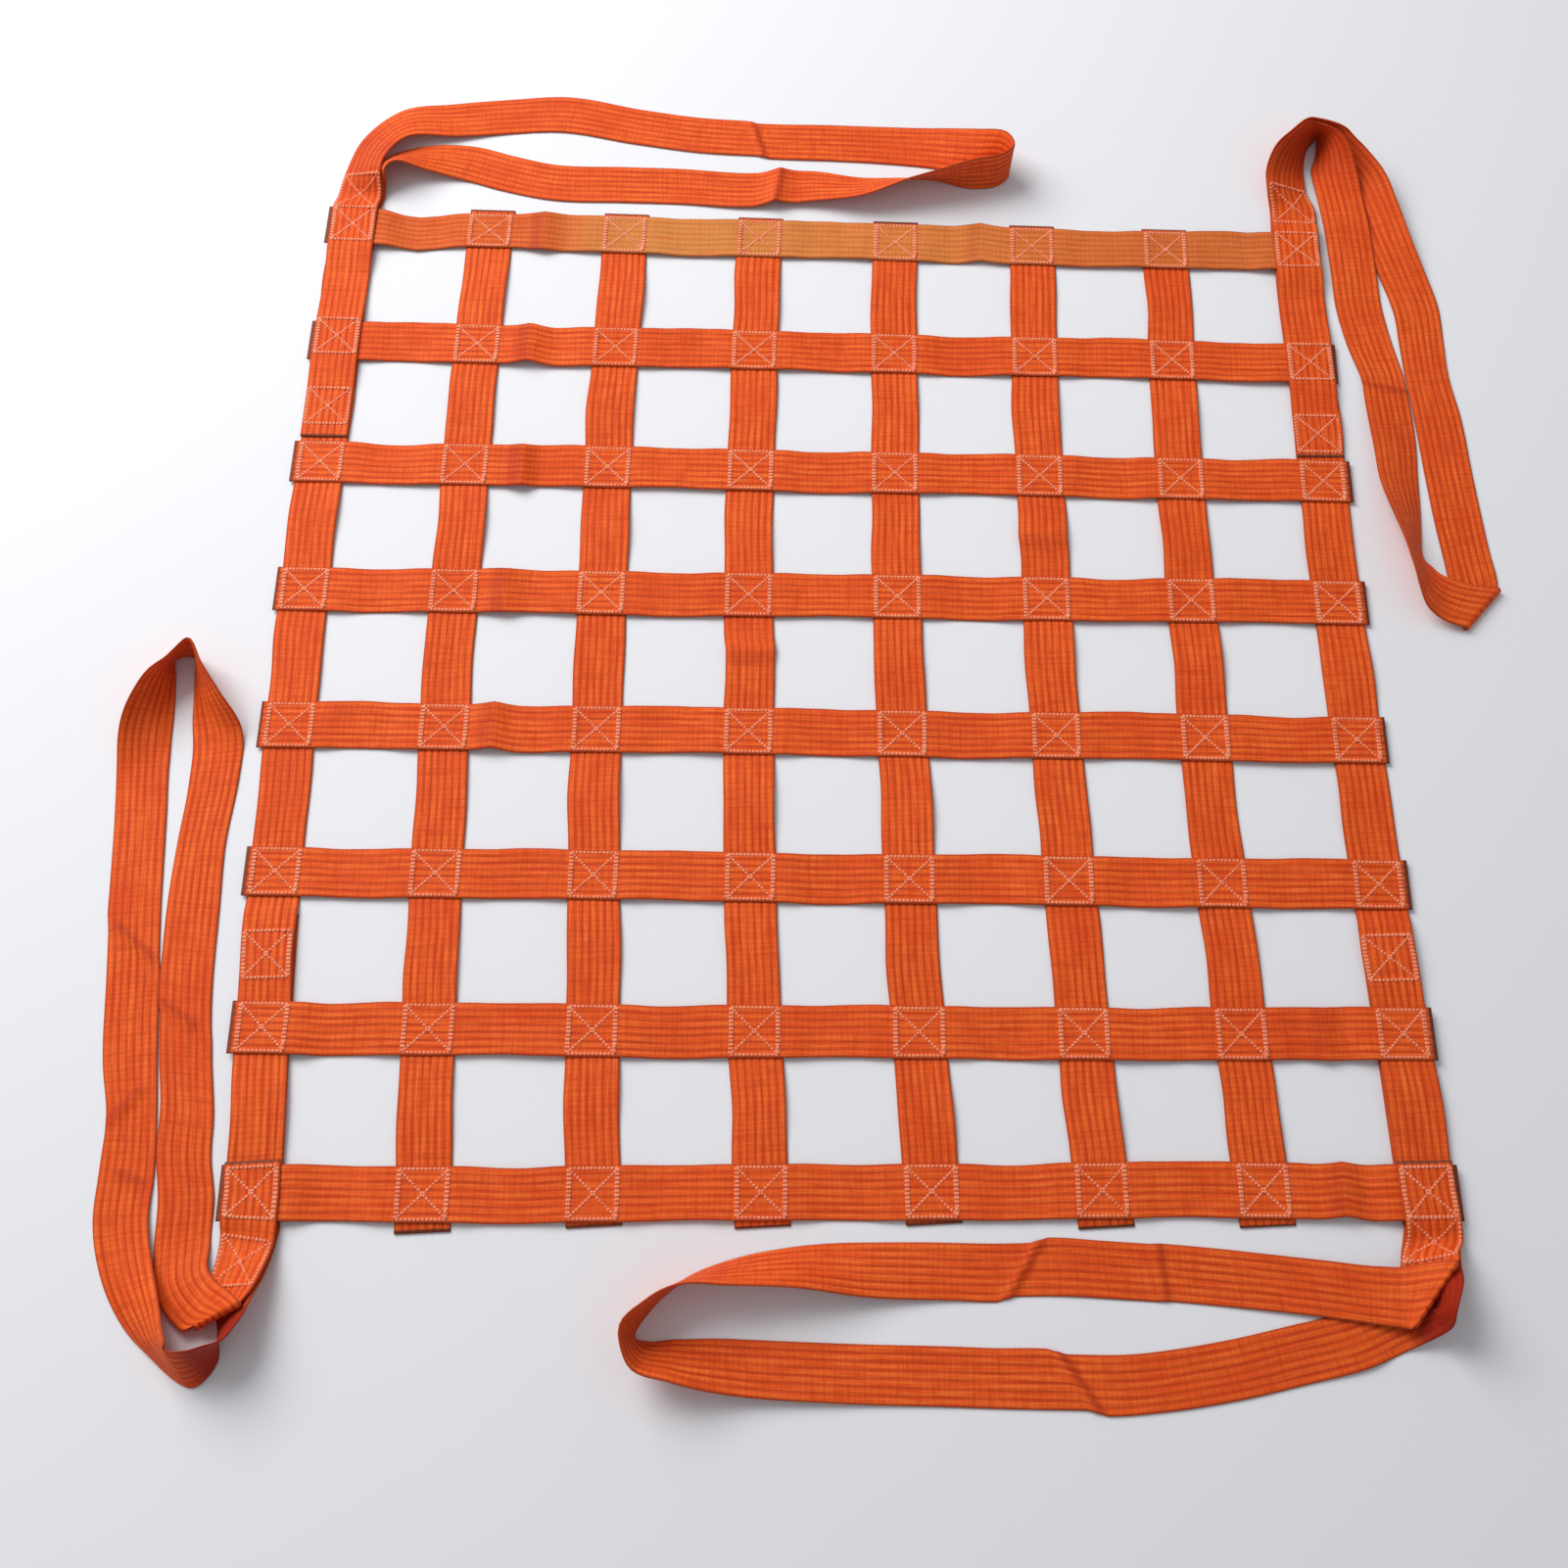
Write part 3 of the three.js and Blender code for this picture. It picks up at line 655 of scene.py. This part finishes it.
NEAR_LEFT = [
    (-517.2, -552, -4, 0, 3, 0),
    (-517.2, -565, -9, 5, 1, 0.7),
    (-520, -591, -10, 20, 1, 2),
    (-531, -631.5, 22, 29, 1, 5, 1.1, 1),
    (-529.4, -634.4, 22, 29, 1, 7.8, 1.1, 1),
    (-531, -631.5, 22, 29, 1, 10.6, 1.1, 1),
    (-553, -622, 50, 8, 1, 4),
    (-569.5, -603, 32, 3, 1, 1.5),
    (-575, -572, 10, 0, 0, 0),
    (-577, -530, 3, 0, 0, 0),
    (-584, -490, -4, 0, 0, 0),
    (-586.1, -450, -8, 0, 0, 0),
    (-593.6, -402, -6, 0, 0, 0),
    (-601.5, -327, -6, 0, 0, 0),
    (-604.5, -250, -4, 0, 0, 0),
    (-604.5, -190, 0, 0, 0, 0, 0.93),
    (-600.5, -130, 4, 0, 0, 0, 0.96),
    (-602, -75, 4, 6, 0, 0),
    (-613, -41, 349, 44, 0, 0),
    (-623, -15, 340, 65, 0, 0),
    (-632.5, 8, 333, 82, 0, 0),
    (-642.5, 4, 304, 73, 0, 0),
    (-650.5, -3, 292, 68, 0, 0),
    (-657.5, -19, 232, 69, 0, 0),
    (-664, -42, 200, 52, 0, 0),
    (-670.5, -74, 185, 24, 0, 0),
    (-671, -110, 184, 4, 0, 0),
    (-667, -160, 184, 0, 0, 0),
    (-660, -250, 185, 0, 0, 0),
    (-652, -327, 186, 0, 0, 0),
    (-644, -402, 188, 0, 0, 0),
    (-635.5, -455, 184, 0, 0, 0, 0.92),
    (-633, -505, 178, 0, 0, 0),
    (-632, -550, 184, -3, 0, 0),
    (-617, -599, 192, -15, 0, 0),
    (-599, -632, 202, -35, 0, 0),
    (-582, -657, 196, -56, 0, 0),
    (-557.2, -676.7, 296, -55, 0, 0),
    (-543, -672, 297, -69, 0, 0),
    (-532.7, -663, 275, -84, 0, 0),
    (-527, -653.5, 160, -72, 0, 0),
    (-522, -638, 178, -54, 0, 0),
    (-521.5, -616, 177, -35, 0, 0),
    (-519, -592, 170, -18, 0, 0),
    (-517, -568, 174, -4, 0, 0),
]


# Creases across the loops: the loop, its leg (1 going out, 2 coming back), the crease's two ends in
# plan, how high it stands, how far it reaches either way, and how far the webbing on its right,
# looking from the first end to the second, has slipped that way past the webbing on its left.
LOOP_CREASES = [
    ("loop_near_right", 1, (178, -569), (152, -611), 2.2, 9, 5),
    ("loop_near_right", 1, (283, -570), (287, -619), 1.2, 9, 1),
    ("loop_near_right", 2, (190, -660), (220, -706), 2.0, 8, -5),
    ("loop_far_left", 1, (-81, 689), (-67, 636), 1.8, 8, -3),
    ("loop_far_left", 2, (-49, 621), (-56, 573), 8, 26, 0),
    ("loop_far_right", 1, (573, 332), (614, 324), 1.5, 9, 0),
    ("loop_near_left", 2, (-675, -276), (-639, -305), 1.8, 9, 2),
    ("loop_near_left", 1, (-629, -347), (-593, -370), 1.8, 9, 2),
    ("loop_near_left", 2, (-652, -458), (-630, -433), 2.0, 9, 0),
    ("loop_near_left", 2, (-639, -510), (-622, -516), 1.5, 10, 0),
]


def framed(x, y, turn, lean, on, lift, wide=1, creased=0):
    """A table's row as (numbers to blend, how far it may round off)."""
    a, b = math.radians(turn), math.radians(lean)
    z = on * LAYER + lift + (WIDE * wide * abs(math.sin(b)) + THICK * abs(math.cos(b))) / 2
    side = (math.cos(b) * math.cos(a), math.cos(b) * math.sin(a), math.sin(b))
    return [x, y, z, *side, wide], 1 - creased


def sewn(x, y, on, turn):
    """A row where a loop's webbing lies along the outer long strap, on layers of webbing."""
    ahead = laid(x, y + 1) - laid(x, y - 1)
    skew = math.degrees(math.atan2(-ahead.x, ahead.y))
    return (*laid(x, y).xy, turn + skew, 0, on, 0, 1, 1)


def blend(t, four, gaps, slack_in, slack_out):
    """One number of a row, carried smoothly from the second of four rows to the third.

    gaps are how far apart the rows lie. Each slack is 1 where the row may round off, and 0 at a
    sharp fold.
    """
    (a, b, c, d), (ab, bc, cd) = four, gaps
    out_b = slack_in * bc * ((b - a) / ab * bc + (c - b) / bc * ab) / (ab + bc)
    in_c = slack_out * bc * ((c - b) / bc * cd + (d - c) / cd * bc) / (bc + cd)
    t2, t3 = t * t, t * t * t
    return ((2 * t3 - 3 * t2 + 1) * b + (t3 - 2 * t2 + t) * out_b
            + (3 * t2 - 2 * t3) * c + (t3 - t2) * in_c)


def past_end(end, inner):
    """Where the row after the last of a table would be."""
    return [2 * e - i for e, i in zip(end, inner)]


def apart(one, other):
    """How far apart two rows lie, and never quite nothing."""
    return max(math.dist(one[:3], other[:3]), 1e-6)


def loop_rings(rows, creases):
    """The rings of a loop, drawn smoothly through rows, and closer where its creases start."""
    made = [framed(*row) for row in rows]
    rows = [numbers for numbers, _ in made]
    slack = [loose for _, loose in made]
    last = len(rows) - 1
    rings = []
    for i in range(last):
        b, c = rows[i], rows[i + 1]
        a = rows[i - 1] if i else past_end(b, c)
        d = rows[i + 2] if i + 2 <= last else past_end(c, b)
        gaps = (apart(a, b), apart(b, c), apart(c, d))
        turn = Vector(b[3:6]).angle(Vector(c[3:6]))
        halfway = (Vector(b[:2]) + Vector(c[:2])) / 2
        close = gaps[1] / 2 + CREASE_NEAR
        near_one = any((Vector(start) - halfway).length < close for start in creases)
        ring_step = FINE_STEP if near_one else RING_STEP
        pieces = max(1, math.ceil(gaps[1] / ring_step), math.ceil(turn / TURN_STEP))
        for step in range(pieces):
            n = [blend(step / pieces, four, gaps, slack[i], slack[i + 1]) for four in zip(a, b, c, d)]
            rings.append(Ring(Vector(n[:3]), Vector(n[3:6]), WIDE / 2 * n[6]))
    end = rows[last]
    rings.append(Ring(Vector(end[:3]), Vector(end[3:6]), WIDE / 2 * end[6]))
    for before, ring in zip(rings, rings[1:]):
        ring.along = before.along + (ring.at - before.at).length
    return rings


def creases_of(name):
    """The creases across one loop."""
    return [crease for crease in LOOP_CREASES if crease[0] == name]


def near_loop(name, x, table):
    """The upper end is cut short past the edge strap, and the lower runs back as a tail."""
    start = [sewn(x, CUT_END - HALF, 3, 0), sewn(x, -HALF, 3, 0)]
    tail_middle = -(HALF + TAIL_END) / 2
    finish = [sewn(x, y, 0, 180) for y in (-HALF - LEG_OUT, -HALF, tail_middle, -TAIL_END)]
    return loop_rings(start + table + finish, [crease[2] for crease in creases_of(name)])


def far_loop(name, x, table, turn):
    """The upper end runs back as a tail over the second cross strap; the lower is cut short."""
    second = HALF - PITCH
    start = [
        sewn(x, TOP_TAIL_END, 1, 180),
        sewn(x, second - RISE_TO, 1, 180),
        sewn(x, second - RISE_FROM, 2, 180),
        sewn(x, second + RISE_FROM, 2, 180),
        sewn(x, second + RISE_TO, 1, 180),
        sewn(x, HALF - RISE_TO, 1, 180),
        sewn(x, HALF - RISE_FROM, 3, 180),
        sewn(x, HALF, 3, 180),
    ]
    finish = [sewn(x, y, 0, turn) for y in (HALF + LEG_OUT, HALF, HALF - CUT_END)]
    return loop_rings(start + table + finish, [crease[2] for crease in creases_of(name)])


def creased(name, rings):
    """How the creases of one loop move and shade a point of it."""
    halfway = rings[-1].along / 2

    def moved(co, along):
        # aside is how far a point is off a crease's line, and past how far it is beyond its ends
        shade = 0.0
        for _, leg, start, end, high, reach, slip in creases_of(name):
            if (leg == 1) != (along < halfway):
                continue
            off = co.xy - Vector(start)
            line = Vector(end) - Vector(start)
            run = line.length
            line.normalize()
            aside, down = off.cross(line), off.dot(line)
            past = max(-down, down - run, 0.0)
            at_line = 1 - ease(past, 0, 12)
            co.z += high * max(1 - abs(aside) / reach, 0.0) ** 1.6 * at_line
            # the slip is full 6 mm from the line, and has died out 90 mm from it
            share = ease(abs(aside), 0, 6) * (1 - ease(abs(aside), 6, 90)) * (1 - ease(past, 8, 40))
            co.xy += line * share * math.copysign(slip / 2, aside * slip)
            # a line of painted shade, a deeper red, runs 3 mm to the left of it
            shade = max(shade, 0.5 * (1 - ease(abs(aside + 3), 1, 6)) * at_line)
        return co, shade

    return moved


loops = {
    "loop_far_left": far_loop("loop_far_left", -HALF, FAR_LEFT, 0),
    "loop_far_right": far_loop("loop_far_right", HALF, FAR_RIGHT, 180),
    "loop_near_left": near_loop("loop_near_left", -HALF, NEAR_LEFT),
    "loop_near_right": near_loop("loop_near_right", HALF, NEAR_RIGHT),
}
# Painted shade at the necks, where some webbing is tucked in behind or stands on edge: the loop, its
# leg (1 going out, 2 coming back), the place, how far round it this is full and where it ends, and
# how strong.
NECK_PAINTED_SHADE = [
    ("loop_near_right", 2, (522, -622), 20, 44, 1.0),
    ("loop_near_left", 2, (-528, -655), 20, 44, 1.0),
    ("loop_far_left", 1, (-510, 632), 12, 56, 0.4),
    ("loop_far_right", 1, (535, 640), 20, 60, 0.45),
]
for name, leg, at, full, end, strong in NECK_PAINTED_SHADE:
    rings = loops[name]
    half = len(rings) // 2
    for ring in rings[:half] if leg == 1 else rings[half:]:
        away = (ring.at.xy - Vector(at)).length
        # painted shade, a deep red, full near the place and fading out further round
        ring.painted_shade_and_darkening = strong * (1 - ease(away, full, end))

for name, rings in loops.items():
    strap = "long_strap_1" if "left" in name else "long_strap_8"
    lay_webbing(name, rings, seared_wide=3.0, dent=creased(name, rings))


# ---------------------------------------------------------------------------------------------
# The sewing. Heavy pale polyester thread, in a square with a cross at every crossing, at the neck
# of every loop and on its tail. A crossing's square is sewn twice down its left and right sides.
# Rows across the ribs stand proud, and rows along them sink towards a channel.
# ---------------------------------------------------------------------------------------------
# how long a stitch is, and half the width of the thread: 4 mm where real thread is nearer 1 mm, so
# that it shows
STITCH = 3.6
THREAD = 2.0
# from the middle of a box to its sides, and from a side to the second row inside it
BOX = 22.3
SECOND_ROW = 1.6
# how far inside the corners the cross starts, and how long the thread's end is sewn back
CROSS_IN = 2.0
BACK = 9.0
BACK_IN = 0.8
# how far the middle of the thread is off the face: across the ribs, along them, aslant, and where
# it is sewn back over itself
ACROSS_RIBS = 0.1
ALONG_RIBS = -0.1
ASLANT = -0.15
OVER_ITSELF = 0.8

# Bonded polyester thread: pale and faintly glossy, and more orange where lint of the webbing has
# worked into it, in spots of 8 mm.
thread, tree = new_material("bonded_polyester_thread")
linted = node(tree, "ShaderNodeAttribute", attribute_name="lint").outputs["Fac"]
at_object = node(tree, "ShaderNodeTexCoord").outputs["Object"]
spots = cloudy(tree, 2.0, at_object, Scale=130.0, Roughness=0.5)
spotted = between(tree, spots, 0.4, 0.7)
clean = mixed(tree, spotted, linear("#F49C78"), linear("#EC845A"))
linty = mixed(tree, spotted, linear("#EE865E"), linear("#E46C40"))
colour = mixed(tree, linted, clean, linty)
twist = node(tree, "ShaderNodeBump", {"Height": spots, "Strength": 0.3, "Distance": 0.2 * MM})
yarn = node(tree, "ShaderNodeBsdfPrincipled", {"Base Color": colour, "Roughness": 0.5,
                                               "Normal": twist.outputs[0]})
node(tree, "ShaderNodeOutputMaterial", {"Surface": yarn.outputs[0]})

# one stitch, a plain bead that is stretched and flattened wherever it is sewn
bead = bmesh.new()
bmesh.ops.create_uvsphere(bead, u_segments=6, v_segments=4, radius=1.0)
for face in bead.faces:
    face.smooth = True
one_stitch = bpy.data.meshes.new("one_stitch")
bead.to_mesh(one_stitch)
bead.free()


def on_top(rings, ways, along, across, proud):
    """A point over the upper face of a strip, and the way out of the face there."""
    k = next((i for i, ring in enumerate(rings) if ring.along >= along), len(rings) - 1)
    k = max(k, 1)
    before, after = rings[k - 1], rings[k]
    t = (along - before.along) / max(after.along - before.along, 1e-6)
    at = before.at.lerp(after.at, t)
    side = before.side.lerp(after.side, t).normalized()
    out = ways[k - 1].lerp(ways[k], t).normalized()
    half = before.half + (after.half - before.half) * t
    return at + side * half * across * 2 / WIDE + out * (THICK / 2 + proud), out


def sew_line(bm, surface, start, end, proud, thick):
    """A row of stitches on a strip from start to end, each (along, across) from its middle."""
    run = math.dist(start, end)
    count = max(1, round(run / STITCH))
    for k in range(count):
        # each stitch runs a little into the next, and is half as high as it is wide
        a = [(s + (e - s) * (k - 0.03) / count) for s, e in zip(start, end)]
        b = [(s + (e - s) * (k + 1.03) / count) for s, e in zip(start, end)]
        first, out = surface(a, proud)
        second, _ = surface(b, proud)
        forward = second - first
        side = out.cross(forward).normalized()
        up = forward.cross(side).normalized()
        turn = Matrix((forward / 2, side * thick, up * thick * 0.5)).transposed().to_4x4()
        copy = one_stitch.copy()
        copy.transform(Matrix.Scale(MM, 4) @ Matrix.Translation((first + second) / 2 - MIDDLE) @ turn)
        bm.from_mesh(copy)
        bpy.data.meshes.remove(copy)


def sew_box(bm, rings, ways, middle, doubled, lint):
    """A square with a cross in it, round a place along a strip, and the lint in its thread.

    doubled says what is sewn twice: its "ends", which run across the strip, its "sides", or "".
    """
    def surface(place, proud):
        return on_top(rings, ways, middle + place[0], place[1], proud)

    sewn_before = len(bm.verts)
    inner, cross = BOX - SECOND_ROW, BOX - CROSS_IN
    for sign in (-1, 1):
        ends = [((sign * BOX, -BOX), (sign * BOX, BOX))]
        sides = [((-BOX, sign * BOX), (BOX, sign * BOX))]
        if doubled == "ends":
            ends.append(((sign * inner, -BOX), (sign * inner, BOX)))
        if doubled == "sides":
            sides.append(((-BOX, sign * inner), (BOX, sign * inner)))
        for start, end in ends:
            sew_line(bm, surface, start, end, ACROSS_RIBS, THREAD)
        # the thread is pulled thinner along the ribs, and thinner yet in the cross
        for start, end in sides:
            sew_line(bm, surface, start, end, ALONG_RIBS, THREAD * 0.9)
        sew_line(bm, surface, (-cross, sign * cross), (cross, -sign * cross), ASLANT, THREAD * 0.8)
    # the thread ends with a few stitches back over themselves
    over = BOX - BACK_IN
    sew_line(bm, surface, (over, -BOX), (over, BACK - BOX), OVER_ITSELF, THREAD)
    bm.verts.ensure_lookup_table()
    for vert in bm.verts[sewn_before:]:
        vert[bm.verts.layers.float["lint"]] = lint


def new_sewing():
    """A bmesh for the thread that one strap or loop is sewn with."""
    bm = bmesh.new()
    bm.verts.layers.float.new("lint")
    return bm


def finish_sewing(name, bm):
    """All the thread on one strap or loop as a finished piece."""
    piece = finished(name, bm, thread)
    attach(piece, "root")


def nearest(rings, place):
    """How far along the rings pass closest to a place of the grid."""
    return min(rings, key=lambda ring: (ring.at.xy - Vector(place)).length).along


# where each loop is sewn besides the corner itself: the middle of its neck's box and its tail's
NECKS = {"loop_far_left": 589, "loop_far_right": 571, "loop_near_left": -586, "loop_near_right": -567}
TAILS = {"loop_far_left": 303, "loop_far_right": 268, "loop_near_left": -300, "loop_near_right": -305}
# how much lint is in the thread: of each cross strap, from the far side, and of a loop
LINT = [0.4, 0.6, 0.55, 0.6, 0.65, 0.75, 0.8, 0.85]
LOOP_LINT = 0.6
NECK_LINT = 0.9
TAIL_LINT = 0.8

for row in range(COUNT):
    rings = sewn_on[f"cross_strap_{row + 1}"]
    ways = face_ways(rings)
    bm = new_sewing()
    for column in range(COUNT):
        outer = column in (0, COUNT - 1)
        # where a loop lies on top, the thread is sewn on the loop
        if not (outer and row in (0, 1, COUNT - 1)):
            lint = LINT[row] + 0.12 * math.sin(2.7 * column + 1.9 * row)
            sew_box(bm, rings, ways, PITCH * column - HALF, "ends", lint)
    finish_sewing(f"sewing_of_cross_strap_{row + 1}", bm)

for name, rings in loops.items():
    ways = face_ways(rings)
    x = -HALF if "left" in name else HALF
    # all that is sewn of a loop's upper end lies in its first third
    head = rings[: len(rings) // 3]
    bm = new_sewing()
    crossings = (HALF, HALF - PITCH) if "far" in name else (-HALF,)
    for y in crossings:
        sew_box(bm, rings, ways, nearest(head, laid(x, y).xy), "sides", LOOP_LINT)
    sew_box(bm, rings, ways, nearest(head, (x, NECKS[name])), "", NECK_LINT)
    if "far" in name:
        sew_box(bm, rings, ways, nearest(head, (x, TAILS[name])), "", LOOP_LINT)
    else:
        # the tail lies beneath the edge strap, and is sewn through it
        strap = sewn_on["long_strap_1" if "left" in name else "long_strap_8"]
        at = nearest(strap, (x, TAILS[name]))
        sew_box(bm, strap, face_ways(strap), at, "sides", TAIL_LINT)
    finish_sewing(f"sewing_of_{name}", bm)
bpy.data.meshes.remove(one_stitch)


# ---------------------------------------------------------------------------------------------
# The floor, a plain pale sheet that runs on past the view, and the light: a large softbox above,
# to the left and beyond the net, in a pale room.
# ---------------------------------------------------------------------------------------------
# in metres
HALF_FLOOR = 15.0
SOFTBOX_AT = Vector((-2.0, 1.9, 2.6))
SOFTBOX_AIM = Vector((-0.1, 0.1, 0.0))

# Matt paper: it gives back soft light and no gloss.
paper = bpy.data.materials.new("matt_pale_floor")
paper.use_nodes = True
paper.node_tree.nodes["Principled BSDF"].inputs["Base Color"].default_value = linear("#E6E6E9")
paper.node_tree.nodes["Principled BSDF"].inputs["Roughness"].default_value = 0.9
bm = bmesh.new()
bmesh.ops.create_grid(bm, x_segments=1, y_segments=1, size=HALF_FLOOR)
finished("floor", bm, paper)

world = bpy.data.worlds.new("soft_studio")
bpy.context.scene.world = world
world.use_nodes = True
world.node_tree.nodes["Background"].inputs["Color"].default_value = linear("#F4F6FA")
world.node_tree.nodes["Background"].inputs["Strength"].default_value = 0.42

# 2.6 metres each way, and 150 watts
softbox = bpy.data.lights.new("key_softbox", "AREA")
softbox.shape = "SQUARE"
softbox.size = 2.6
softbox.energy = 150
lamp = added("key_softbox", softbox)
lamp.location = SOFTBOX_AT
lamp.rotation_euler = (SOFTBOX_AIM - SOFTBOX_AT).to_track_quat("-Z", "Y").to_euler()


# ---------------------------------------------------------------------------------------------
# The camera, nearly overhead, looking from the near side. It aims at a point of the floor, and
# its aim and distance are in metres.
# ---------------------------------------------------------------------------------------------
AIM = Vector((-0.03929, -0.13723, 0.0))
DISTANCE = 1.8073
ELEVATION = math.radians(67.164)
view = bpy.data.cameras.new("camera")
view.lens = 42.58
view.sensor_width = 36.0
camera = added("camera", view)
camera.location = AIM + DISTANCE * Vector((0, -math.cos(ELEVATION), math.sin(ELEVATION)))
camera.rotation_euler = (AIM - camera.location).to_track_quat("-Z", "Y").to_euler()
bpy.context.scene.camera = camera
bpy.context.scene.view_settings.view_transform = "Standard"
